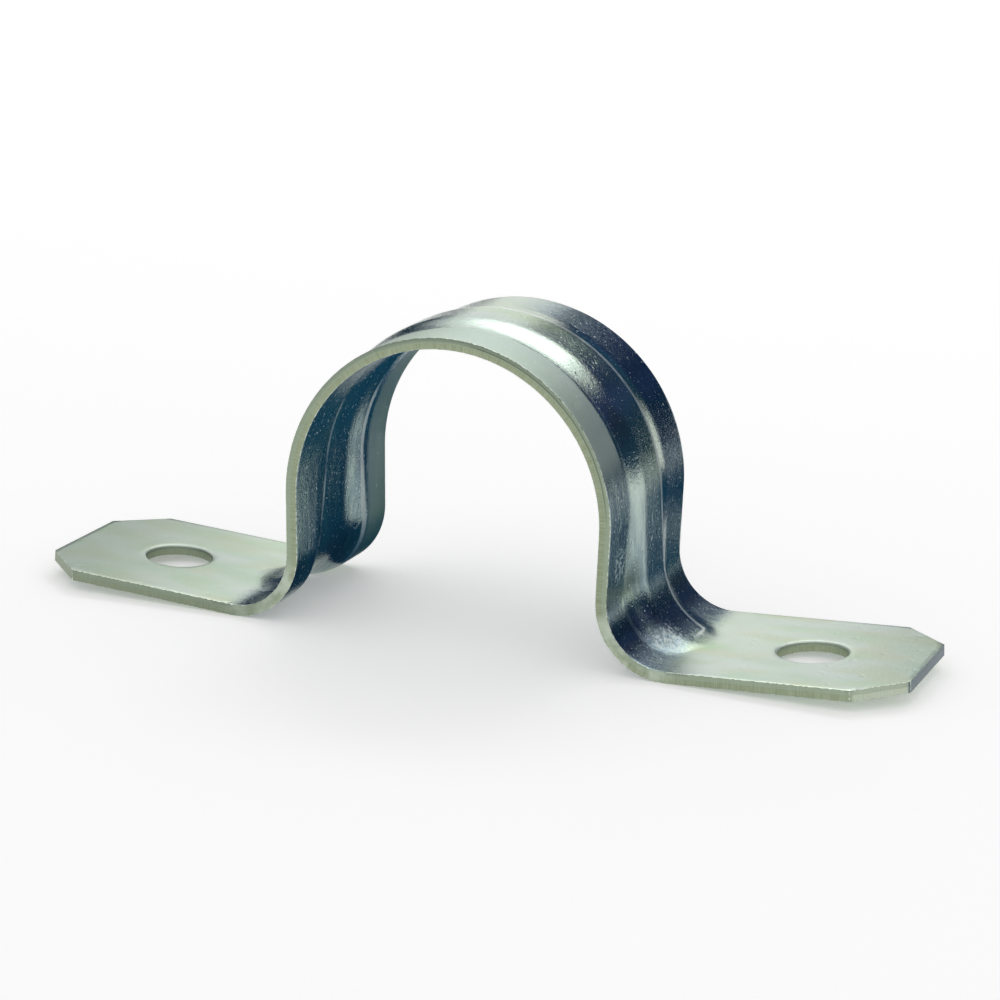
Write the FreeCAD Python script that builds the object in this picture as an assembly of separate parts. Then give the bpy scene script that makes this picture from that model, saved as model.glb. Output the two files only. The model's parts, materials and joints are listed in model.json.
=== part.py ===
import FreeCAD, Part
import math
import os

# Two-hole conduit strap, pressed from one strip of zinc-plated steel.
# Millimetres. +X runs from foot to foot, +Y along the conduit and +Z away from the wall.
# The origin is midway between the feet, level with the lowest line of the two bends.

# Arch, legs, bends and feet
conduit_diameter = 33.4      # outside diameter of the conduit under the arch
conduit_clearance = 0.1      # radial gap between conduit and arch
strip_width = 22.2
sheet = 1.2                  # thickness of the strip
leg_lean = 1.2               # degrees by which each leg closes in below the arch
leg_length = 6.8             # straight stretch of a leg
bend_radius = 6.2            # hollow side of the bend from leg to foot
foot_rise = 3.2              # degrees by which a foot rises towards its tip
foot_length = 24.0           # straight stretch of a foot
corner_along = 4.9           # corner cut of a foot, measured along the foot
corner_across = 4.7          # the same cut, measured across the strip

# Screw holes
hole_diameter = 7.4
hole_to_tip = 12.0           # centre of a hole to the tip of its foot
hole_rollover = 0.2          # eased edge that the punch leaves where it enters

# Stiffening bead, pressed outwards along the middle of the strip
bead_height = 0.55           # over the arch
bead_spread = 5.0            # degrees by which the crest draws away from a leg
bead_toe = 2.2               # length of the bead that runs out on a foot
bead_width = 10.4            # over the arch, between the middles of its lower roundings
bead_crest_width = 5.2       # over the arch, between the middles of its upper roundings
bead_gusset_width = 12.4     # the same as bead_width, where the bead stands highest in a bend
bead_toe_width = 5.0         # the same as bead_width, where the bead ends
bead_rounding = 0.8          # half the length of each rounding across the bead

# How finely the changing section is followed
arch_steps = 2
leg_steps = 5
bend_steps = 10
toe_steps = 4

arch_radius = conduit_diameter / 2 + conduit_clearance
outer_radius = arch_radius + sheet
half_strip = strip_width / 2
leg_angle = 90 + leg_lean
crown_angle = leg_angle - bead_spread
across = FreeCAD.Vector(0, 1, 0)


def outward(angle):
    """Unit vector that stands off the strip, at an angle in degrees from +Z towards +X."""
    turn = math.radians(angle)
    return FreeCAD.Vector(math.sin(turn), 0, math.cos(turn))


def onward(angle):
    """Unit vector along the strip towards the tip of the right foot, square to outward."""
    turn = math.radians(angle)
    return FreeCAD.Vector(math.cos(turn), 0, -math.sin(turn))


# Places on the outer side of the strip, from the arch down to the right foot
bend_drop = leg_length * math.cos(math.radians(leg_lean))
bend_drop += (outer_radius + bend_radius) * math.sin(math.radians(leg_lean))
arch_centre = FreeCAD.Vector(0, 0, bend_radius + sheet + bend_drop)
leg_start = arch_centre + outward(leg_angle) * outer_radius
leg_end = leg_start + onward(leg_angle) * leg_length
bend_centre = leg_end + outward(leg_angle) * bend_radius
foot_start = bend_centre - outward(-foot_rise) * bend_radius
toe_end = foot_start + onward(-foot_rise) * bead_toe
foot_tip = foot_start + onward(-foot_rise) * foot_length
hole_centre = foot_tip - onward(-foot_rise) * hole_to_tip


def crest_line():
    """Line of the bead's crest: straight off the crown, then one arc that ends flat on the foot."""
    start = arch_centre + outward(crown_angle) * (outer_radius + bead_height)
    down = onward(crown_angle)
    foot_normal = outward(-foot_rise)
    corner = start + down * ((toe_end - start).dot(foot_normal) / down.dot(foot_normal))
    tangent_length = (toe_end - corner).Length
    half_turn = (crown_angle + foot_rise) / 2
    radius = tangent_length / math.tan(math.radians(half_turn))
    centre = toe_end + foot_normal * radius
    arc_start = corner - down * tangent_length
    arc_middle = centre - outward(crown_angle - half_turn) * radius
    straight = Part.makeLine(start, arc_start)
    gusset = Part.Arc(arc_start, arc_middle, toe_end).toShape()
    return Part.Wire([straight, gusset])


def height_over(point, angle, crest):
    """How far the crest stands over a point of the strip."""
    probe = Part.makeLine(point, point + outward(angle) * bend_radius)
    gap, touches, details = crest.distToShape(probe)
    return (touches[0][0] - point).dot(outward(angle))


def spread(start, end, steps):
    """Evenly spaced values after start, up to and with end."""
    return [start + (end - start) * step / steps for step in range(1, steps + 1)]


def limb_stations():
    """Points on the strip with their outward angles, from the crown to the end of the toe."""
    stations = [(arch_centre + outward(crown_angle) * outer_radius, crown_angle)]
    for angle in spread(crown_angle, leg_angle, arch_steps):
        stations.append((arch_centre + outward(angle) * outer_radius, angle))
    for distance in spread(0, leg_length, leg_steps):
        stations.append((leg_start + onward(leg_angle) * distance, leg_angle))
    for angle in spread(leg_angle, -foot_rise, bend_steps):
        stations.append((bend_centre - outward(angle) * bend_radius, angle))
    for distance in spread(0, bead_toe, toe_steps):
        stations.append((foot_start + onward(-foot_rise) * distance, -foot_rise))
    return stations


def width_at(height, highest):
    """Width of the bead where it stands this high: a wide gusset in the bend, a narrow toe."""
    if height < bead_height:
        return bead_toe_width + (bead_width - bead_toe_width) * height / bead_height
    share = (height - bead_height) / (highest - bead_height)
    return bead_width + (bead_gusset_width - bead_width) * share


def bead_poles(height, width):
    """Corners of the polygon that one side of the bead's section follows, from edge to crest."""
    foot = width / 2
    crest = foot * bead_crest_width / bead_width
    middle = (foot + crest) / 2
    return [(foot + bead_rounding, 0), (foot, 0), (middle, height / 2),
            (crest, height), (crest - bead_rounding, height), (0, height)]


def section_side(point, angle, depth, poles):
    """One long side of the section: flat band, bead, flat band, at a depth under the surface."""
    def place(offset, rise):
        return point + across * offset + outward(angle) * (rise - depth)
    rising = [place(-offset, rise) for offset, rise in poles]
    falling = [place(offset, rise) for offset, rise in reversed(poles[:-1])]
    curve = Part.BSplineCurve()
    curve.buildFromPoles(rising + falling)
    front = Part.makeLine(place(-half_strip, 0), rising[0])
    back = Part.makeLine(falling[-1], place(half_strip, 0))
    return [front, curve.toShape(), back]


def section(station, height, width):
    """Closed section of the strip, square to it."""
    point, angle = station
    poles = bead_poles(height, width)
    outer = section_side(point, angle, 0, poles)
    inner = section_side(point, angle, sheet, poles)
    front_cut = Part.makeLine(inner[0].Vertexes[0].Point, outer[0].Vertexes[0].Point)
    back_cut = Part.makeLine(outer[-1].Vertexes[-1].Point, inner[-1].Vertexes[-1].Point)
    return Part.Wire(outer + [back_cut] + inner[::-1] + [front_cut])


def make_crown():
    """The half-round top, where the section doesn't change."""
    station = (arch_centre + outward(-crown_angle) * outer_radius, -crown_angle)
    face = Part.Face(section(station, bead_height, bead_width))
    return face.revolve(arch_centre, across, 2 * crown_angle)


def make_limb():
    """Right leg and bend, with the bead that rises into a gusset and runs out on the foot."""
    crest = crest_line()
    stations = limb_stations()
    heights = [height_over(point, angle, crest) for point, angle in stations]
    wires = [section(station, height, width_at(height, max(heights)))
             for station, height in zip(stations, heights)]
    return Part.makeLoft(wires, True)


def make_foot():
    """Right foot beyond the bead's toe: flat plate with cut corners and a punched hole."""
    length = foot_length - bead_toe
    outline = [(0, -half_strip), (length - corner_along, -half_strip),
               (length, corner_across - half_strip), (length, half_strip - corner_across),
               (length - corner_along, half_strip), (0, half_strip)]
    corners = [toe_end + onward(-foot_rise) * reach + across * offset
               for reach, offset in outline]
    plate = Part.Face(Part.makePolygon(corners + corners[:1]))
    plate = plate.extrude(outward(-foot_rise) * -sheet)
    punch = Part.makeCylinder(hole_diameter / 2, 2 * sheet,
                              hole_centre - outward(-foot_rise) * (sheet + sheet / 2),
                              outward(-foot_rise))
    plate = plate.cut(punch)
    entry = min(plate.Edges, key=lambda edge: (edge.CenterOfMass - hole_centre).Length)
    return plate.makeChamfer(hole_rollover, [entry])


def make_strap():
    """The whole strap: crown, two limbs and two feet in one solid."""
    limb = make_limb()
    foot = make_foot()
    halves = [limb, foot]
    for half in (limb, foot):
        halves.append(half.mirror(FreeCAD.Vector(0, 0, 0), FreeCAD.Vector(1, 0, 0)))
    return make_crown().fuse(halves)


strap = make_strap()
box = strap.BoundBox
print("valid", strap.isValid(), "solids", len(strap.Solids), "faces", len(strap.Faces))
print("size %.2f x %.2f x %.2f mm" % (box.XLength, box.YLength, box.ZLength))
print("lowest %.4f mm, volume %.1f mm3" % (box.ZMin, strap.Volume))
print("holes %.2f mm apart" % (2 * hole_centre.x))

os.makedirs("parts", exist_ok=True)
strap.exportStep("parts/strap.step")
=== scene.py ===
# %% [markdown]
# # Dressing a two-hole conduit strap
# A conduit strap is one strip of steel. It is sheared to length, its corners are cropped, two
# holes are punched, and a press then gives it the arch, the stiffening bead and the two feet.
# Last of all it is plated with zinc. This script follows the same order: a flat blank, a
# press, and then the finish.
# The solid model of the strap is loaded first. It fixes every size and place, and it is
# never moved or changed here.

# %% Load the solid strap
import json
import math
import bmesh
import bpy
from mathutils import Matrix, Vector


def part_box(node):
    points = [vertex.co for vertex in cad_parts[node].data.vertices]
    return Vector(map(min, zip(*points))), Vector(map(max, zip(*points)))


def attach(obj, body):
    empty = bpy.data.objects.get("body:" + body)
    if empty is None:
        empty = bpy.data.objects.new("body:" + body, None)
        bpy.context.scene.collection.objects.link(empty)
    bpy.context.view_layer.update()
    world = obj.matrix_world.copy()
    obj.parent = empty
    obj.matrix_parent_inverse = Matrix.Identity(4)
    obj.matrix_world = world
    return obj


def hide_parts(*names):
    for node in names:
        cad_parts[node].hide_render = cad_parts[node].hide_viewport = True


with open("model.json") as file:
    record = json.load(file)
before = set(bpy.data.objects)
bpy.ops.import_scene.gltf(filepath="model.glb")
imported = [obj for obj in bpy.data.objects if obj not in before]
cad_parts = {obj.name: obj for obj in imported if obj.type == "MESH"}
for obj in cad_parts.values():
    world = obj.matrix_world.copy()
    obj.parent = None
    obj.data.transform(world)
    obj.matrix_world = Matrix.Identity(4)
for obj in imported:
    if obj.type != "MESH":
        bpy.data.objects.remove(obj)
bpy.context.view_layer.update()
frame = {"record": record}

# %% [markdown]
# ## Sizes
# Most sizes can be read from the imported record: the saddle that holds the conduit gives the
# arch, and a screw hole gives the foot's tilt. The box of the solid gives the length. Only
# the few sizes that no interface shows are written here.

# %% Read the sizes
mm = 0.001
strap_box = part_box("strap")
mounts = {mount["name"]: mount for mount in frame["record"]["mounts"]}
saddle = mounts["conduit_saddle"]
screw_hole = mounts["right_screw_hole"]

sheet = 1.2 * mm
hole_rollover = 0.2 * mm
bend_radius = 6.2 * mm
leg_lean = math.radians(1.2)
corner_along = 4.9 * mm
corner_across = 4.7 * mm
right_angle = math.pi / 2

strip_width = saddle["dims"]["length_mm"] * mm
outer_radius = saddle["dims"]["r_mm"] * mm + sheet
arch_height = saddle["pos_m"][2]
hole_radius = screw_hole["dims"]["r_mm"] * mm
foot_rise = math.atan2(-screw_hole["axis"][0], screw_hole["axis"][2])
leg_angle = right_angle + leg_lean
bend_turn = leg_angle + foot_rise
leg_drop = arch_height - bend_radius - sheet - (outer_radius + bend_radius) * math.sin(leg_lean)
leg_length = leg_drop / math.cos(leg_lean)


def outward(angle):
    """Unit vector (x, z) that stands off the strip, at an angle from +Z towards +X."""
    return math.sin(angle), math.cos(angle)


def onward(angle):
    """Unit vector (x, z) along the strip towards the tip of the right foot."""
    return math.cos(angle), -math.sin(angle)


def go(point, vector, distance):
    """The point (x, z) that lies a distance along a vector from another."""
    return point[0] + vector[0] * distance, point[1] + vector[1] * distance


def between(start, end):
    """The vector (x, z) from one point to another."""
    return end[0] - start[0], end[1] - start[1]


def dot(first, second):
    """Scalar product of two vectors (x, z)."""
    return first[0] * second[0] + first[1] * second[1]


# %% Follow the strip from the arch to the tip of the right foot
leg_start = go((0, arch_height), outward(leg_angle), outer_radius)
leg_end = go(leg_start, onward(leg_angle), leg_length)
bend_centre = go(leg_end, outward(leg_angle), bend_radius)
foot_start = go(bend_centre, outward(-foot_rise), -bend_radius)
tip_reach = strap_box[1][0] - sheet * math.sin(foot_rise)
foot_length = (tip_reach - foot_start[0]) / math.cos(foot_rise)
hole_place = (screw_hole["pos_m"][0], screw_hole["pos_m"][2])

# Distances along the strip, from the top of the arch
leg_begins = outer_radius * leg_angle
bend_begins = leg_begins + leg_length
foot_begins = bend_begins + bend_radius * bend_turn
hole_at = foot_begins + dot(between(foot_start, hole_place), onward(-foot_rise))
tip_at = foot_begins + foot_length
print("leg %.2f, foot %.2f, hole %.2f mm before the tip"
      % (leg_length / mm, foot_length / mm, (tip_at - hole_at) / mm))

# %% [markdown]
# ## The bead's crest
# The bead is pressed outwards along the middle of the strip. Over the arch it has one height.
# On the legs its crest draws away, and in the bend it cuts the corner as one large arc that
# ends flat on the foot. That arc is what makes the bend stiff. Its centre and radius follow
# from the two straight lines that it touches.

# %% Work out the crest
bead_height = 0.55 * mm
bead_width = 10.4 * mm
bead_crest_width = 5.2 * mm
bead_gusset_width = 12.4 * mm
bead_toe_width = 5.0 * mm
bead_easing = 0.65 * mm
bead_toe = 2.2 * mm
bead_spread = math.radians(5.0)
crown_angle = leg_angle - bead_spread

crest_start = go((0, arch_height), outward(crown_angle), outer_radius + bead_height)
toe_end = go(foot_start, onward(-foot_rise), bead_toe)
crest_drop = (dot(between(crest_start, toe_end), outward(-foot_rise))
              / dot(onward(crown_angle), outward(-foot_rise)))
crest_corner = go(crest_start, onward(crown_angle), crest_drop)
tangent_length = math.dist(crest_corner, toe_end)
gusset_radius = tangent_length / math.tan((crown_angle + foot_rise) / 2)
gusset_centre = go(toe_end, outward(-foot_rise), gusset_radius)
crest_straight = crest_drop - tangent_length


def gusset_rise(angle):
    """Height of the gusset's arc over the bend, where the strip faces this angle."""
    base = go(bend_centre, outward(angle), -bend_radius)
    to_centre = between(base, gusset_centre)
    nearest = dot(to_centre, outward(angle))
    return nearest - math.sqrt(nearest ** 2 - dot(to_centre, to_centre) + gusset_radius ** 2)


samples = 20
gusset_height = max(gusset_rise(bend_turn * part / samples - foot_rise)
                    for part in range(samples + 1))
print("gusset radius %.2f mm, height %.2f mm" % (gusset_radius / mm, gusset_height / mm))

# %% [markdown]
# ## The blank
# The blank is the flat strip before pressing. It is laid out by distance along the strip (X)
# and across it (Y), with the outer face at Z = 0. The long middle is a plain grid. Each foot
# is a fan of rings between the hole and the outline, so that the hole stays truly round.
# A mesh in code suits this better than a boolean cut, which would leave slivers at the hole.
# The outer face dips into the hole along a small arc, as a punch leaves it.

# %% Lay out one foot
half_strip = strip_width / 2
past_toe = 0.3 * mm
body_end = foot_begins + bead_toe + past_toe
rows = 60
ring_count = 14
rollover_rings = 4
edge_step = 0.8 * mm


def stretch(start, end, count):
    """Evenly spaced points after start, up to and with end."""
    return [(start[0] + (end[0] - start[0]) * part / count,
             start[1] + (end[1] - start[1]) * part / count) for part in range(1, count + 1)]


def foot_outline():
    """Points round a foot, with the joint to the middle of the strip first."""
    corners = [(body_end, half_strip), (tip_at - corner_along, half_strip),
               (tip_at, half_strip - corner_across), (tip_at, corner_across - half_strip),
               (tip_at - corner_along, -half_strip), (body_end, -half_strip)]
    outline = [(body_end, -half_strip)]
    outline += stretch(outline[0], corners[0], rows)
    for start, end in zip(corners, corners[1:]):
        outline += stretch(start, end, round(math.dist(start, end) / edge_step))
    return outline[:-1]


def towards(point, radius):
    """The point on a circle round the hole that faces another point."""
    angle = math.atan2(point[1], point[0] - hole_at)
    return hole_at + radius * math.cos(angle), radius * math.sin(angle)


def rollover_ring(number, outer_face):
    """Radius and height of a ring at the mouth of the hole."""
    angle = right_angle * number / rollover_rings
    if outer_face:
        return (hole_radius + hole_rollover * (1 - math.cos(angle)),
                hole_rollover * (math.sin(angle) - 1))
    return hole_radius + hole_rollover * number / rollover_rings, -sheet


def foot_rings(outer_face):
    """Rings of points (x, y, z) from the hole's wall to the outline of the foot."""
    outline = foot_outline()
    rings = []
    for number in range(rollover_rings + 1):
        radius, height = rollover_ring(number, outer_face)
        rings.append([(*towards(point, radius), height) for point in outline])
    land = hole_radius + hole_rollover
    for number in range(1, ring_count + 1):
        ring = []
        for point in outline:
            near = towards(point, land)
            share = number / ring_count
            ring.append((near[0] + (point[0] - near[0]) * share,
                         near[1] + (point[1] - near[1]) * share, height))
        rings.append(ring)
    return rings


# %% Helpers for the blank
def add_points(blank, rings):
    """New vertices for rows of points (x, y, z)."""
    return [[blank.verts.new(point) for point in ring] for ring in rings]


def add_faces(blank, first, second, closed, material):
    """Quads between two rows of vertices."""
    count = len(first) if closed else len(first) - 1
    for number in range(count):
        following = (number + 1) % len(first)
        face = blank.faces.new((first[number], first[following],
                                second[following], second[number]))
        face.material_index = material


def add_foot(blank, side):
    """One foot: outer face, inner face, the hole's wall and the sheared outline."""
    sheets = []
    for outer_face in (True, False):
        rings = [[(side * x, y, z) for x, y, z in ring] for ring in foot_rings(outer_face)]
        points = add_points(blank, rings)
        for first, second in zip(points, points[1:]):
            add_faces(blank, first, second, True, plated)
        sheets.append(points)
    outer, inner = sheets
    add_faces(blank, outer[0], inner[0], True, sheared)
    sheared_edge = slice(rows, None)
    outline = outer[-1][sheared_edge] + outer[-1][:1]
    under = inner[-1][sheared_edge] + inner[-1][:1]
    add_faces(blank, outline, under, False, sheared)


def add_middle(blank):
    """The long middle of the strip: two faces and the two sheared edges."""
    sheets = []
    for height in (0, -sheet):
        lines = [[(body_end * (2 * column / columns - 1), strip_width * (row / rows - 0.5), height)
                  for row in range(rows + 1)] for column in range(columns + 1)]
        points = add_points(blank, lines)
        for first, second in zip(points, points[1:]):
            add_faces(blank, first, second, False, plated)
        sheets.append(points)
    for row in (0, rows):
        outer = [line[row] for line in sheets[0]]
        inner = [line[row] for line in sheets[1]]
        add_faces(blank, outer, inner, False, sheared)


# %% Build the flat blank
columns = 236
plated, sheared, burr = range(3)
weld = 0.001 * mm
blank = bmesh.new()
add_middle(blank)
add_foot(blank, 1)
add_foot(blank, -1)
bmesh.ops.remove_doubles(blank, verts=blank.verts, dist=weld)
bmesh.ops.recalc_face_normals(blank, faces=blank.faces)
open_edges = sum(not edge.is_manifold for edge in blank.edges)
print("blank: %d faces, %d open edges, %.1f mm long"
      % (len(blank.faces), open_edges, 2 * tip_at / mm))
blank_mesh = bpy.data.meshes.new("strap_blank")
blank.to_mesh(blank_mesh)
blank.free()

# %% [markdown]
# ## Sums on sockets
# The press and the finish are both sums over the strip: how far along, how far across, how
# high. Node trees can do such sums, but a Math node for each sign is hard to read. This small
# class wraps a socket and takes part in ordinary Python arithmetic, so a formula reads like
# the formula that it is. Where only numbers meet, Python works the sum out by itself.

# %% A value inside a node tree
class Quantity:
    """A socket that can be added, multiplied and so on."""
    def __init__(self, socket):
        self.socket = socket

    def __add__(self, other):
        return calculate("ADD", self, other)

    def __radd__(self, other):
        return calculate("ADD", other, self)

    def __sub__(self, other):
        return calculate("SUBTRACT", self, other)

    def __rsub__(self, other):
        return calculate("SUBTRACT", other, self)

    def __mul__(self, other):
        return calculate("MULTIPLY", self, other)

    def __rmul__(self, other):
        return calculate("MULTIPLY", other, self)

    def __truediv__(self, other):
        return calculate("DIVIDE", self, other)


def connect(tree, socket, value):
    """Gives an input socket a link or a plain value."""
    if isinstance(value, Quantity):
        value = value.socket
    if isinstance(value, bpy.types.NodeSocket):
        tree.links.new(value, socket)
    else:
        socket.default_value = value


def place_node(tree, kind, settings=None, sockets=None):
    """Any node: its settings are set first, and then its sockets."""
    node = tree.nodes.new(kind)
    for name, value in (settings or {}).items():
        setattr(node, name, value)
    for name, value in (sockets or {}).items():
        connect(tree, node.inputs[name], value)
    return node


def calculate(operation, *terms):
    """One Math node in the tree that the terms belong to."""
    tree = next(term.socket.id_data for term in terms if isinstance(term, Quantity))
    node = place_node(tree, "ShaderNodeMath", {"operation": operation}, dict(enumerate(terms)))
    return Quantity(node.outputs[0])


def clamp(value, low, high):
    """The value, kept between two limits."""
    return calculate("MINIMUM", calculate("MAXIMUM", value, low), high)


def blend(share, low, high):
    """Low where share is 0 and high where it is 1."""
    return low + (high - low) * share


def ramp(value, start, end):
    """0 at start and 1 at end, with a smooth rise between."""
    tree = value.socket.id_data
    settings = {"interpolation_type": "SMOOTHSTEP"}
    sockets = {"Value": value, "From Min": start, "From Max": end}
    if start > end:
        sockets.update({"From Min": end, "From Max": start, "To Min": 1.0, "To Max": 0.0})
    return Quantity(place_node(tree, "ShaderNodeMapRange", settings, sockets).outputs[0])


# %% [markdown]
# ## The press
# The press is one Geometry Nodes tree. For each point of the blank it works out where the
# strip's outer face goes, which way it faces there, and how high the bead stands, and it
# moves the point there. A tree fits this job because the whole form is one rule with named
# sizes. It also notes on each point how far along, across and deep it was in the flat strip,
# and how high on the bead it is. The finish uses these notes later, because rolling marks,
# polish and stain follow the strip.

# %% Build the press
press_sizes = {
    "Outer Radius": outer_radius, "Leg Angle": leg_angle, "Leg Length": leg_length,
    "Bend Radius": bend_radius, "Foot Rise": foot_rise, "Arch Height": arch_height,
    "Crown Angle": crown_angle, "Bead Height": bead_height, "Bead Width": bead_width,
    "Crest Width": bead_crest_width, "Bead Easing": bead_easing, "Toe Width": bead_toe_width,
    "Gusset Width": bead_gusset_width, "Gusset Height": gusset_height,
    "Gusset Radius": gusset_radius, "Gusset Centre X": gusset_centre[0],
    "Gusset Centre Z": gusset_centre[1], "Crest Start X": crest_start[0],
    "Crest Start Z": crest_start[1], "Crest Straight": crest_straight, "Bead Toe": bead_toe,
}
press = bpy.data.node_groups.new("strap_press", "GeometryNodeTree")
press.interface.new_socket("Geometry", in_out="INPUT", socket_type="NodeSocketGeometry")
for size_name in press_sizes:
    press.interface.new_socket(size_name, in_out="INPUT", socket_type="NodeSocketFloat")
press.interface.new_socket("Geometry", in_out="OUTPUT", socket_type="NodeSocketGeometry")
press_in = place_node(press, "NodeGroupInput")
press_out = place_node(press, "NodeGroupOutput")
size = {name: Quantity(press_in.outputs[name]) for name in press_sizes}
flat = place_node(press, "ShaderNodeSeparateXYZ", sockets={
    "Vector": place_node(press, "GeometryNodeInputPosition").outputs[0]})
flat_along, flat_across, flat_depth = (Quantity(output) for output in flat.outputs)


# %% Where the press takes each point
def sine(angle):
    """One Math node, for an angle in radians."""
    return calculate("SINE", angle)


def cosine(angle):
    """One Math node, for an angle in radians."""
    return calculate("COSINE", angle)


away = calculate("ABSOLUTE", flat_along)
side = calculate("SIGN", flat_along)
on_arch = clamp(away / size["Outer Radius"], 0, size["Leg Angle"])
on_leg = clamp(away - size["Outer Radius"] * size["Leg Angle"], 0, size["Leg Length"])
past_leg = away - size["Outer Radius"] * size["Leg Angle"] - size["Leg Length"]
turned = clamp(past_leg / size["Bend Radius"], 0, size["Leg Angle"] + size["Foot Rise"])
on_foot = calculate("MAXIMUM", past_leg - size["Bend Radius"]
                    * (size["Leg Angle"] + size["Foot Rise"]), 0)
bend_angle = size["Leg Angle"] - turned
facing = on_arch - turned
strip_x = (sine(on_arch) * size["Outer Radius"] + cosine(size["Leg Angle"]) * on_leg
           + (sine(size["Leg Angle"]) - sine(bend_angle)) * size["Bend Radius"]
           + cosine(size["Foot Rise"]) * on_foot)
strip_z = (size["Arch Height"] + cosine(on_arch) * size["Outer Radius"]
           - sine(size["Leg Angle"]) * on_leg
           + (cosine(size["Leg Angle"]) - cosine(bend_angle)) * size["Bend Radius"]
           + sine(size["Foot Rise"]) * on_foot)
facing_x, facing_z = sine(facing), cosine(facing)

# %% [markdown]
# ### How high the bead stands
# From a point of the strip, look straight outwards. The crest is met either on its straight
# part or on the gusset's arc. Both meeting points have a short formula, and a comparison
# picks the right one. Beyond the toe there is no bead.

# %% Raise the bead
crown_x, crown_z = sine(size["Crown Angle"]), cosine(size["Crown Angle"])
to_crest_x = size["Crest Start X"] - strip_x
to_crest_z = size["Crest Start Z"] - strip_z
nearly_along = 0.01
square_to_crest = calculate("MAXIMUM", facing_x * crown_x + facing_z * crown_z, nearly_along)
straight_height = (to_crest_x * crown_x + to_crest_z * crown_z) / square_to_crest
passed = ((facing_x * straight_height - to_crest_x) * crown_z
          - (facing_z * straight_height - to_crest_z) * crown_x)
to_centre_x = size["Gusset Centre X"] - strip_x
to_centre_z = size["Gusset Centre Z"] - strip_z
nearest = to_centre_x * facing_x + to_centre_z * facing_z
beyond = (to_centre_x * to_centre_x + to_centre_z * to_centre_z
          - size["Gusset Radius"] * size["Gusset Radius"])
arc_height = nearest - calculate(
    "SQRT", calculate("MAXIMUM", nearest * nearest - beyond, 0))
before_arc = calculate("LESS_THAN", passed, size["Crest Straight"])
on_crown = calculate("LESS_THAN", on_arch, size["Crown Angle"])
before_toe = calculate("LESS_THAN", on_foot, size["Bead Toe"])
crest_height = blend(before_arc, arc_height, straight_height)
crest_height = blend(on_crown, crest_height, size["Bead Height"]) * before_toe
run_out = clamp(crest_height / size["Bead Height"], 0, 1)
gusset_share = clamp((crest_height - size["Bead Height"])
                     / (size["Gusset Height"] - size["Bead Height"]), 0, 1)

bead_span = (size["Toe Width"] + (size["Bead Width"] - size["Toe Width"]) * run_out
             + (size["Gusset Width"] - size["Bead Width"]) * gusset_share)
crest_span = bead_span * size["Crest Width"] / size["Bead Width"]
flank = place_node(press, "ShaderNodeMapRange", {"interpolation_type": "SMOOTHSTEP"}, {
    "Value": calculate("ABSOLUTE", flat_across),
    "From Min": crest_span / 2 - size["Bead Easing"],
    "From Max": bead_span / 2 + size["Bead Easing"], "To Min": 1.0, "To Max": 0.0})
flank_share = Quantity(flank.outputs[0])
lift = flat_depth + crest_height * flank_share

# %% Move the points and note where they came from
pressed_place = place_node(press, "ShaderNodeCombineXYZ", sockets={
    "X": (strip_x + facing_x * lift) * side, "Y": flat_across,
    "Z": strip_z + facing_z * lift})
geometry = press_in.outputs["Geometry"]
press_notes = {"along": flat_along, "across": flat_across, "depth": flat_depth,
               "bead": flank_share * run_out}
for note_name, value in press_notes.items():
    stored = place_node(press, "GeometryNodeStoreNamedAttribute",
                        {"data_type": "FLOAT", "domain": "POINT"},
                        {"Geometry": geometry, "Name": note_name, "Value": value})
    geometry = stored.outputs["Geometry"]
moved = place_node(press, "GeometryNodeSetPosition", sockets={
    "Geometry": geometry, "Position": pressed_place.outputs[0]})
smooth = place_node(press, "GeometryNodeSetShadeSmooth", sockets={
    "Geometry": moved.outputs[0], "Shade Smooth": True})
realized = place_node(press, "GeometryNodeRealizeInstances", sockets={
    "Geometry": smooth.outputs[0]})
geometry = realized.outputs[0]

# %% Give each face its finish
finishes = [bpy.data.materials.new(name) for name in
            ("bright_zinc_plate", "sheared_edge", "burr_burnish_and_painted_glints")]
face_finish = Quantity(place_node(press, "GeometryNodeInputMaterialIndex").outputs[0])
half_a_step = 0.5
for number, finish in enumerate(finishes):
    chosen = calculate("COMPARE", face_finish, number, half_a_step)
    dressed = place_node(press, "GeometryNodeSetMaterial", sockets={
        "Geometry": geometry, "Selection": chosen, "Material": finish})
    geometry = dressed.outputs[0]
press.links.new(geometry, press_out.inputs["Geometry"])
print("press: %d nodes" % len(press.nodes))

# %% [markdown]
# ## Press the blank
# A small bevel first eases the sheared edges, because no real edge is perfectly sharp and
# the thin line of light along it is what the eye reads as thickness. The press follows, and
# weighted normals keep the flat parts flat in the reflections. The result becomes a plain
# mesh, and the modifiers are gone before the piece is attached to the root body.

# %% Ease and press the blank
edge_angle = math.radians(32)
edge_radius = 0.05 * mm
blank_piece = bpy.data.objects.new("strap_blank", blank_mesh)
bpy.context.collection.objects.link(blank_piece)
for finish in finishes:
    blank_mesh.materials.append(finish)
easing = blank_piece.modifiers.new("edge_easing", "BEVEL")
easing.limit_method = "ANGLE"
easing.angle_limit = edge_angle
easing.width = edge_radius
easing.segments = 2
easing.material = burr
easing.use_clamp_overlap = False
stroke = blank_piece.modifiers.new("press", "NODES")
stroke.node_group = press
for socket in press.interface.items_tree:
    if socket.name in press_sizes:
        stroke[socket.identifier] = press_sizes[socket.name]
evening = blank_piece.modifiers.new("even_normals", "WEIGHTED_NORMAL")
evening.keep_sharp = True

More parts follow.
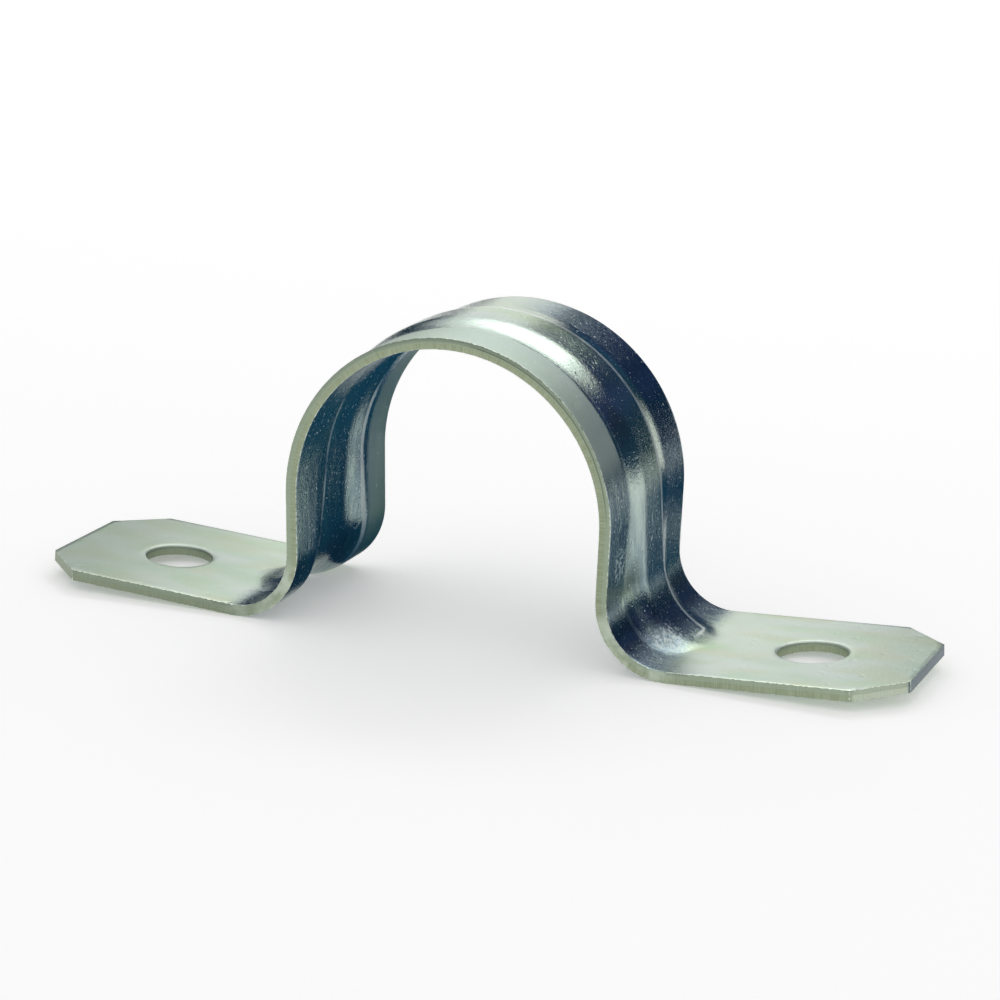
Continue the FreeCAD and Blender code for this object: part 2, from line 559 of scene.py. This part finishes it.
# %% Make it a plain mesh
graph = bpy.context.evaluated_depsgraph_get()
strap_mesh = bpy.data.meshes.new_from_object(blank_piece.evaluated_get(graph), depsgraph=graph,
                                             preserve_all_data_layers=True)
bpy.data.objects.remove(blank_piece)
strap = bpy.data.objects.new("pressed_strap", strap_mesh)
strap_mesh.name = "pressed_strap"
bpy.context.collection.objects.link(strap)
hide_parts("strap")
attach(strap, "root")
strap_mesh.calc_loop_triangles()
print("pressed strap: %d triangles" % len(strap_mesh.loop_triangles),
      [attribute.name for attribute in strap_mesh.attributes],
      [material.name for material in strap_mesh.materials])

# %% [markdown]
# ## Zinc plate
# The strap is plated with zinc and passivated: a pale sage silver, with blue and straw where
# the film is thicker. It is bare metal to the eye, so Metallic is 1 and the tint goes into the
# Base Color. Painted reflections and highlights also go into the Base Color: dark blue bands,
# a pale sheen, and pale lines and spots. Image textures could carry all this, but they would
# need a painted map. The press has left notes on each point instead, so every mark can follow
# the strip: how far along, how far across, how deep, and how high on the bead.

# %% Read the strip's own coordinates
def note(tree, name):
    """One of the press's notes on the flat strip, in metres."""
    attribute = place_node(tree, "ShaderNodeAttribute", {"attribute_name": name})
    return Quantity(attribute.outputs["Fac"])


def strip_place(tree, along_scale, across_scale, depth_scale):
    """Place in the flat strip, in millimetres, stretched by the three scales."""
    joined = place_node(tree, "ShaderNodeCombineXYZ", sockets={
        "X": note(tree, "along") * (along_scale / mm),
        "Y": note(tree, "across") * (across_scale / mm),
        "Z": note(tree, "depth") * (depth_scale / mm)})
    return joined.outputs[0]


def noise(tree, place, detail=2.0, roughness=0.5, scale=1.0):
    """Noise from 0 to 1, with most of it near 0.5."""
    node = place_node(tree, "ShaderNodeTexNoise", sockets={
        "Vector": place, "Scale": scale, "Detail": detail, "Roughness": roughness})
    return Quantity(node.outputs[0])


def strip_noise(tree, scales, detail=2.0, roughness=0.5):
    """Noise over the flat strip: a small scale gives long marks, a large one short marks."""
    return noise(tree, strip_place(tree, *scales), detail, roughness)


def spread(value, low=0.35, high=0.65):
    """Noise with its middle stretched to the whole range from 0 to 1."""
    return ramp(value, low, high)


def window(value, start, full, still_full, end):
    """0 up to start, 1 from full to still_full, and 0 again from end."""
    return ramp(value, start, full) * ramp(value, end, still_full)


# %% Colours and the shader
def tint_mix(tree, share, first, second):
    """A colour between two others."""
    node = place_node(tree, "ShaderNodeMix", {"data_type": "RGBA"}, {0: share})
    for socket, colour in ((node.inputs[6], first), (node.inputs[7], second)):
        if isinstance(colour, tuple):
            socket.default_value = (*colour, 1)
        else:
            tree.links.new(colour, socket)
    return node.outputs[2]


def paint(tree, colour, coats):
    """Lays coats over a colour, each given by where it lies, its strength and its tint."""
    for place, strength, tint in coats:
        colour = tint_mix(tree, place * strength, colour, tint)
    return colour


def roughen(base, marks):
    """Adds marks to a roughness, each given by where it lies and its amount."""
    for place, amount in marks:
        base = base + place * amount
    return base


def finish_shader(finish, **constants):
    """The finish's Principled shader, with its plain values set."""
    finish.use_nodes = True
    shader = finish.node_tree.nodes["Principled BSDF"]
    for name, value in constants.items():
        shader.inputs[name.replace("_", " ")].default_value = value
    return shader


# %% [markdown]
# ### Areas of the strip
# The press treats each area in its own way. The feet were pressed between flat dies and are
# satin, and so is the front band of the arch. The rest slid over the tool and is polished.
# Some areas also carry painted reflections: dark blue on the back band and in the bend, and
# a pale sheen on the front band.
# Each area is a window over the notes, 1 inside and 0 outside, with a soft border. A little
# noise is added where a border runs along the strip, so that it isn't ruled.

# %% Areas
zinc, edge, lip = finishes
shader = finish_shader(zinc, Metallic=1.0)
tree = zinc.node_tree
along, across, depth, bead = (note(tree, name) for name in press_notes)
reach = calculate("ABSOLUTE", along)
outer_face = ramp(depth, -0.6 * sheet, -0.4 * sheet)
inner_face = 1 - outer_face
back_half = ramp(across, -1.0 * mm, 1.0 * mm)
on_foot_plate = ramp(reach, foot_begins - 2.5 * mm, foot_begins + 1.5 * mm)
on_limb = ramp(reach, leg_begins - 5 * mm, leg_begins + 1 * mm) * (1 - on_foot_plate)
right_side = ramp(along, -1 * mm, 1 * mm)

wander = (strip_noise(tree, (0.25, 0, 0)) - 0.5) * (0.6 * mm)
# Front band of the arch: satin, and painted paler as a reflection
satin_front_band_and_painted_sheen = (ramp(across + wander, -5.6 * mm, -6.2 * mm) * outer_face
              * ramp(reach, leg_begins - 3.5 * mm, leg_begins - 8.5 * mm))
# Low on the front of the legs, where the painted dark reflection also lies
low_front_painted_dark = (ramp(across, -5 * mm, -6 * mm) * outer_face
             * ramp(reach, leg_begins - 8 * mm, leg_begins - 5 * mm))
pale_top = calculate("ABSOLUTE", along + 3 * mm)
# Back band: painted dark blue reflection, stopping short of the top of the arch
back_band_painted_dark = (ramp(across + wander, 4.9 * mm, 5.7 * mm) * outer_face
             * ramp(pale_top, 1.5 * mm, 8.5 * mm)
             * ramp(reach, leg_begins + 6 * mm, leg_begins - 2 * mm))
inner_back = ramp(across, 5.6 * mm, 7.2 * mm) * inner_face
# Bend: painted dark blue reflection, stronger on the right side
gusset = (outer_face * blend(right_side, 0.45, 1.0)
          * window(reach, bend_begins + 1 * mm, bend_begins + 4 * mm,
                   foot_begins - 1.5 * mm, foot_begins + 1 * mm))
left_tip = ramp(along, -foot_begins, -tip_at) * on_foot_plate
# Painted highlight round the rounded mouth of the hole
hole_mouth_painted_highlight = ramp(depth, -0.01 * mm, -0.04 * mm) * outer_face * on_foot_plate

# %% [markdown]
# ### Marks
# Rolling leaves streaks along the strip. The plating adds clouds of thicker film, a mottle
# and a fine grain, with a few specks and shallow dents. A painted dark blue reflection lies
# over the legs and the inside. Painted highlights lie along the edges of the bead, and two
# painted highlight spots on the right leg and in its bend. The marks differ only in
# how far their noise is stretched along and across the strip.

# %% Marks
clouds = spread(strip_noise(tree, (0.10, 0.16, 0.2), 3.0, 0.55))
film = spread(strip_noise(tree, (0.05, 0.09, 0.2)), 0.40, 0.62)
straw = spread(strip_noise(tree, (0.13, 0.22, 0.2), 1.0), 0.48, 0.66) * on_foot_plate
pale_streaks = spread(strip_noise(tree, (0.11, 0.26, 0.3), 0.0), 0.36, 0.66) * on_foot_plate
dark_streaks = spread(strip_noise(tree, (0.16, 1.1, 0.5), 4.0, 0.65))
streaks = strip_noise(tree, (0.12, 5.0, 1.0), 4.0, 0.6)
fine_streaks = strip_noise(tree, (0.4, 14.0, 1.0), 2.0, 0.6)
mottle = strip_noise(tree, (0.9, 1.3, 1.1), 5.0, 0.7)
grain = strip_noise(tree, (3.4, 3.8, 3.6), 3.0, 0.75)
specks = ramp(strip_noise(tree, (2.6, 2.8, 2.8)), 0.66, 0.72)
dents = ramp(strip_noise(tree, (0.7, 0.9, 0.9), 1.0), 0.66, 0.74)

# Painted dark blue reflection over the legs, the inner face and the low front, in streaks
painted_dark_reflection = clamp(on_limb * 0.8 + inner_face * 0.55 + low_front_painted_dark, 0, 0.9) * (1 - on_foot_plate)
painted_dark_reflection = painted_dark_reflection * blend(dark_streaks, 0.45, 1.0) * (1 - inner_back * 0.8)

# %% Painted highlights along the bead and on the right leg
highlight_breaks = spread(strip_noise(tree, (0.22, 0.3, 0.3), 3.0, 0.6), 0.30, 0.62)
# Painted highlight along the back shoulder of the bead, broken by noise
shoulder_painted_highlight = (window(bead, 0.74, 0.86, 0.95, 0.995) * back_half * outer_face
                 * blend(highlight_breaks, 0.55, 1.0)
                 * ramp(reach, foot_begins + 1.4 * mm, foot_begins - 0.8 * mm))
root_line = window(bead, 0.005, 0.04, 0.07, 0.14) * (1 - back_half)
# Painted highlight lines along the rims of the groove inside
groove_painted_highlight = blend(back_half, window(bead, 0.66, 0.82, 0.93, 0.995),
                    window(bead, 0.01, 0.06, 0.12, 0.22))
groove_painted_highlight = groove_painted_highlight * inner_face * blend(highlight_breaks, 0.35, 1.0)
# Two painted highlight spots, on the right leg and in its bend, broken by noise
leg_highlight_spot = (window(along, bend_begins - 5.5 * mm, bend_begins - 4 * mm,
                     bend_begins - 2 * mm, bend_begins - 0.5 * mm)
              * window(across, -9.6 * mm, -8.6 * mm, -6.8 * mm, -5.8 * mm))
bend_highlight_spot = (window(along, foot_begins - 5 * mm, foot_begins - 3.5 * mm,
                      foot_begins - 2 * mm, foot_begins - 0.5 * mm)
               * window(across, -6.5 * mm, -5 * mm, -2 * mm, -0.5 * mm))
broken = ramp(strip_noise(tree, (1.9, 1.9, 1.9), 3.0, 0.7), 0.47, 0.58)
painted_highlight_spots = (leg_highlight_spot + bend_highlight_spot * 0.8) * broken * outer_face

# %% [markdown]
# ### Coats
# The colour starts as sage, and each coat is laid over the last: first the film, the streaks,
# the straw and a darker left tip, then the painted dark blue and pale reflections of the
# polished and satin areas, and the specks and painted highlights last of all. The
# roughness is built in the same way, from the polish of each area and the marks on it. It
# does most of the work, since it decides how sharply the metal reflects.

# %% Coats of the zinc plate
# Each row says where the coat lies, how strong it is and what its tint is
sage = tint_mix(tree, clouds, (0.50, 0.63, 0.46), (0.57, 0.69, 0.53))
coats = [
    (film, blend(on_foot_plate, 0.55, 0.30), (0.46, 0.55, 0.56)),
    (pale_streaks, 0.45, (0.68, 0.72, 0.72)),
    (straw, 0.40, (0.56, 0.58, 0.40)),
    (left_tip, 0.55, (0.30, 0.37, 0.30)),
    # painted dark blue reflection on the legs, the inner face and the low front
    (painted_dark_reflection, 1.0, (0.17, 0.25, 0.29)),
    # painted dark blue reflection on the back band
    (back_band_painted_dark, blend(spread(mottle), 0.9, 0.5), (0.16, 0.24, 0.33)),
    # painted pale reflection on the satin front band
    (satin_front_band_and_painted_sheen, 0.6, (0.56, 0.64, 0.58)),
    # painted dark blue reflection in the bend
    (gusset, blend(spread(mottle), 0.8, 0.35), (0.17, 0.23, 0.30)),
    (specks, blend(on_foot_plate, 0.8, 0.25), (0.84, 0.90, 0.90)),
    # painted highlight spots on the right leg and in its bend
    (painted_highlight_spots, 0.8, (0.74, 0.82, 0.80)),
    # painted highlight round the hole's mouth
    (hole_mouth_painted_highlight, 0.8, (0.86, 0.91, 0.86)),
    # painted highlight line along the bead's back shoulder
    (shoulder_painted_highlight, 0.8, (0.84, 0.88, 0.84)),
    # painted highlight lines along the groove's rims
    (groove_painted_highlight, 0.9, (0.86, 0.92, 0.88)),
]
tree.links.new(paint(tree, sage, coats), shader.inputs["Base Color"])

# %% Roughness and relief of the zinc plate
polished, satin = 0.11, 0.33
polish = blend(on_foot_plate, polished, satin) + satin_front_band_and_painted_sheen * 0.42 + inner_back * 0.34
roughness = roughen(polish, [
    (streaks - 0.5, 0.16), (mottle - 0.5, 0.16), (grain - 0.5, 0.22), (specks, 0.38),
    (painted_highlight_spots, 0.30), (shoulder_painted_highlight, 0.30), (groove_painted_highlight, 0.40), (root_line, 0.15),
    (gusset, 0.10), (hole_mouth_painted_highlight, 0.25)])
connect(tree, shader.inputs["Roughness"], clamp(roughness, 0.06, 0.6))

plating_relief = (grain * 0.9 + mottle * 0.7) * blend(on_foot_plate, 1.0, 0.45)
rolling_relief = streaks * 0.3 + fine_streaks * 0.15
bump = place_node(tree, "ShaderNodeBump", sockets={
    "Strength": 1.0, "Distance": 0.03 * mm,
    "Height": plating_relief + rolling_relief - dents * 0.5})
tree.links.new(bump.outputs[0], shader.inputs["Normal"])
print("zinc plate: %d coats, %d nodes" % (len(coats), len(tree.nodes)))

# %% [markdown]
# ## Sheared edge and burr
# Shearing cuts the first part of the thickness smooth and tears the rest, and it leaves fine
# lines square to the sheet. The plating is thin there, so the edge is olive and dull. It is
# drawn paler through the bends, and darker on the left foot and across the right tip. The
# eased corner is a burr, burnished bright in places, and its pale spots are also painted
# glints along the edge.

# %% Sheared edge
shader = finish_shader(edge, Metallic=1.0)
tree = edge.node_tree
along, depth = note(tree, "along"), note(tree, "depth")
reach = calculate("ABSOLUTE", along)
striations = strip_noise(tree, (9.0, 9.0, 0.5), 3.0, 0.6)
patches = strip_noise(tree, (0.5, 0.5, 0.5), 2.0, 0.6)
uneven_depth = depth + (patches - 0.5) * (0.25 * mm)
torn = ramp(uneven_depth, -0.50 * sheet, -0.42 * sheet)
in_bend = window(reach, bend_begins, bend_begins + 3 * mm, foot_begins - 2 * mm,
                 foot_begins + 3 * mm)
shear_line = (window(depth, -0.42 * sheet, -0.36 * sheet, -0.30 * sheet, -0.24 * sheet)
              * window(along, 1 * mm, 4 * mm, leg_begins - 5 * mm, leg_begins))
left_foot = ramp(along, -bend_begins, -foot_begins)
cropped = ramp(along, tip_at - corner_along, tip_at - corner_along + 0.5 * mm)
right_tip = ramp(along, tip_at - 0.30 * mm, tip_at - 0.12 * mm)

olive = tint_mix(tree, spread(striations, 0.3, 0.7), (0.29, 0.34, 0.22), (0.42, 0.48, 0.34))
edge_colour = paint(tree, olive, [
    (torn, 0.5, (0.38, 0.47, 0.37)),
    (in_bend * spread(patches), 0.8, (0.66, 0.74, 0.62)),
    (shear_line, 0.6, (0.10, 0.13, 0.09)),
    (left_foot, 0.5, (0.22, 0.26, 0.20)),
    (cropped, blend(torn, 0.45, 0.15), (0.76, 0.83, 0.72)),
    (right_tip, 0.85, (0.10, 0.14, 0.19))])
tree.links.new(edge_colour, shader.inputs["Base Color"])
roughness = roughen(0.42, [(striations - 0.5, 0.3)])
connect(tree, shader.inputs["Roughness"], clamp(roughness, 0.2, 0.7))
bump = place_node(tree, "ShaderNodeBump", sockets={
    "Strength": 1.0, "Distance": 0.03 * mm, "Height": striations + torn * 0.8})
tree.links.new(bump.outputs[0], shader.inputs["Normal"])

# %% Burr: burnished, with painted glints
shader = finish_shader(lip, Metallic=1.0)
tree = lip.node_tree
# Pale spots on the burr: burnished metal and painted glints
nicks = strip_noise(tree, (2.5, 2.5, 2.5), 3.0, 0.7)
shine = tint_mix(tree, spread(nicks, 0.42, 0.60), (0.30, 0.37, 0.28), (0.86, 0.90, 0.82))
tree.links.new(shine, shader.inputs["Base Color"])
roughness = roughen(0.30, [(nicks - 0.5, 0.3)])
connect(tree, shader.inputs["Roughness"], clamp(roughness, 0.1, 0.6))

# %% [markdown]
# ## Studio
# A plain pale floor, one soft light above and behind, and a white room. Bright metal shows
# whatever stands round it, and in an all-white room it looks like plaster. So dark cards stand
# round the strap and lie on the floor, as in a product studio. Only reflections see the cards:
# they give the polished arch and legs their deep blue bands, and they take no light from the
# floor. Each card is given by the directions, or the floor places, of its corners.

# %% Floor
def new_stage(name, corners, material):
    """A flat piece of the studio."""
    mesh = bpy.data.meshes.new(name)
    mesh.from_pydata(corners, [], [tuple(range(len(corners)))])
    mesh.materials.append(material)
    piece = bpy.data.objects.new(name, mesh)
    bpy.context.collection.objects.link(piece)
    return piece


def sees_background(tree):
    """1 for camera, glossy and transmission rays."""
    path = place_node(tree, "ShaderNodeLightPath")
    rays = [Quantity(path.outputs[name])
            for name in ("Is Camera Ray", "Is Glossy Ray", "Is Transmission Ray")]
    return clamp(rays[0] + rays[1] + rays[2], 0, 1)


floor_half = 4.0
floor_glow = 0.22
floor_paint = bpy.data.materials.new("floor_paint")
shader = finish_shader(floor_paint, Base_Color=(0.9, 0.9, 0.9, 1), Roughness=0.9,
                       Specular_IOR_Level=0.0, Emission_Strength=1.0)
tree = floor_paint.node_tree
glow = tint_mix(tree, sees_background(tree), (0, 0, 0), (floor_glow,) * 3)
tree.links.new(glow, shader.inputs["Emission Color"])
new_stage("floor", [(-floor_half, -floor_half, 0), (floor_half, -floor_half, 0),
                    (floor_half, floor_half, 0), (-floor_half, floor_half, 0)], floor_paint)

# %% Dim blue glow of the dark cards
card_glow = bpy.data.materials.new("card_glow")
shader = finish_shader(card_glow, Base_Color=(0, 0, 0, 1), Roughness=1.0,
                       Specular_IOR_Level=0.0, Emission_Strength=1.0)
tree = card_glow.node_tree
object_place = place_node(tree, "ShaderNodeTexCoord").outputs["Object"]
height = place_node(tree, "ShaderNodeSeparateXYZ", sockets={"Vector": object_place}).outputs[2]
blotches = noise(tree, object_place, 3.0, 0.6, scale=6.0)
# The cards glow a dim, blotchy blue that only reflections see
blues = tint_mix(tree, ramp(Quantity(height), 0.0, 0.45), (0.012, 0.072, 0.135),
                 (0.045, 0.060, 0.175))
blues = tint_mix(tree, spread(blotches, 0.4, 0.6), blues, (0.012, 0.022, 0.040))
tree.links.new(blues, shader.inputs["Emission Color"])


# %% Dark cards that only reflections see
def direction(azimuth, elevation):
    """Unit vector: azimuth from straight behind the strap towards its right, in degrees."""
    turn, rise = math.radians(azimuth), math.radians(elevation)
    return Vector((math.sin(turn) * math.cos(rise), math.cos(turn) * math.cos(rise),
                   math.sin(rise)))


def dark_card(name, corners):
    """A dark card that shows in reflections, but hides nothing and throws no shadow."""
    card = new_stage(name, corners, card_glow)
    for rays in ("camera", "diffuse", "shadow", "transmission"):
        setattr(card, "visible_" + rays, False)


card_distance = 1.0
card_lift = 0.3 * mm
standing_cards = {
    "back_card": [(-13, 0), (33, 0), (33, 34), (3, 33), (-13, 26)],
    "right_card": [(33, 0), (88, 0), (88, 44), (60, 42), (33, 38)],
    "left_card": [(-60, -1), (-24, -1), (-26, 8), (-31, 20), (-60, 26)],
    "front_card": [(163, 4), (208, 2), (213, 32), (183, 33), (163, 26)],
    "front_left_card": [(215, 2), (268, 2), (268, 44), (240, 40), (215, 34)],
    "front_right_card": [(112, 2), (145, 2), (145, 22), (112, 28)],
}
floor_cards = {
    "left_floor_card": [(-19, -8), (-14, -12), (-6, 4), (3, 25), (7, 34), (27, 52),
                        (46, 94), (-24, 94), (-21, 40)],
    "right_floor_card": [(19, -8), (23, -8), (34, 18), (48, 50), (66, 90), (40, 90),
                         (28, 55), (20, 34)],
    "far_floor_card": [(39, 92), (66, 92), (480, 800), (180, 900)],
}
for name, directions in standing_cards.items():
    dark_card(name, [direction(*pair) * card_distance for pair in directions])
for name, places in floor_cards.items():
    dark_card(name, [(x * mm, y * mm, card_lift) for x, y in places])
print("%d standing cards, %d floor cards" % (len(standing_cards), len(floor_cards)))

# %% Light and room
room_light, room_seen = 0.75, 0.95
room = bpy.data.worlds.new("white_room")
bpy.context.scene.world = room
room.use_nodes = True
sky = room.node_tree.nodes["Background"]
sky.inputs["Color"].default_value = (1, 1, 1, 1)
connect(room.node_tree, sky.inputs["Strength"],
        blend(sees_background(room.node_tree), room_light, room_seen))

lamp_distance = 0.9
lamp_direction = direction(-6, 47)
lamp_data = bpy.data.lights.new("softbox", "AREA")
lamp_data.shape = "RECTANGLE"
lamp_data.size = 0.66
lamp_data.size_y = 0.2
lamp_data.energy = 1.0
lamp = bpy.data.objects.new("softbox", lamp_data)
bpy.context.collection.objects.link(lamp)
lamp.location = lamp_direction * lamp_distance
lamp.rotation_mode = "QUATERNION"
lamp.rotation_quaternion = (-lamp_direction).to_track_quat("-Z", "Y")

# %% [markdown]
# ## Camera
# A long lens keeps both feet at nearly one scale. It looks from the right of the front and a
# little from above, so the outer face shows on the right side and the groove on the left.

# %% Camera
camera_azimuth = math.radians(22.2)
camera_elevation = math.radians(15.99)
camera_roll = math.radians(1.49)
camera_distance = 321.8 * mm
focal_length = 113.9
aim = (5.06 * mm, -8.65 * mm, 15.96 * mm)
back = Vector((math.sin(camera_azimuth) * math.cos(camera_elevation),
               -math.cos(camera_azimuth) * math.cos(camera_elevation),
               math.sin(camera_elevation)))
right = Vector((math.cos(camera_azimuth), math.sin(camera_azimuth), 0))
up = back.cross(right)
turned_right = right * math.cos(camera_roll) + up * math.sin(camera_roll)
turned_up = up * math.cos(camera_roll) - right * math.sin(camera_roll)
lens = bpy.data.cameras.new("camera")
lens.lens = focal_length
lens.clip_start = 0.01
lens.clip_end = 20
camera = bpy.data.objects.new("camera", lens)
bpy.context.collection.objects.link(camera)
pose = Matrix((turned_right, turned_up, back)).transposed().to_4x4()
pose.translation = Vector(aim) + back * camera_distance
camera.matrix_world = pose
bpy.context.scene.camera = camera
bpy.context.scene.view_settings.view_transform = "Standard"
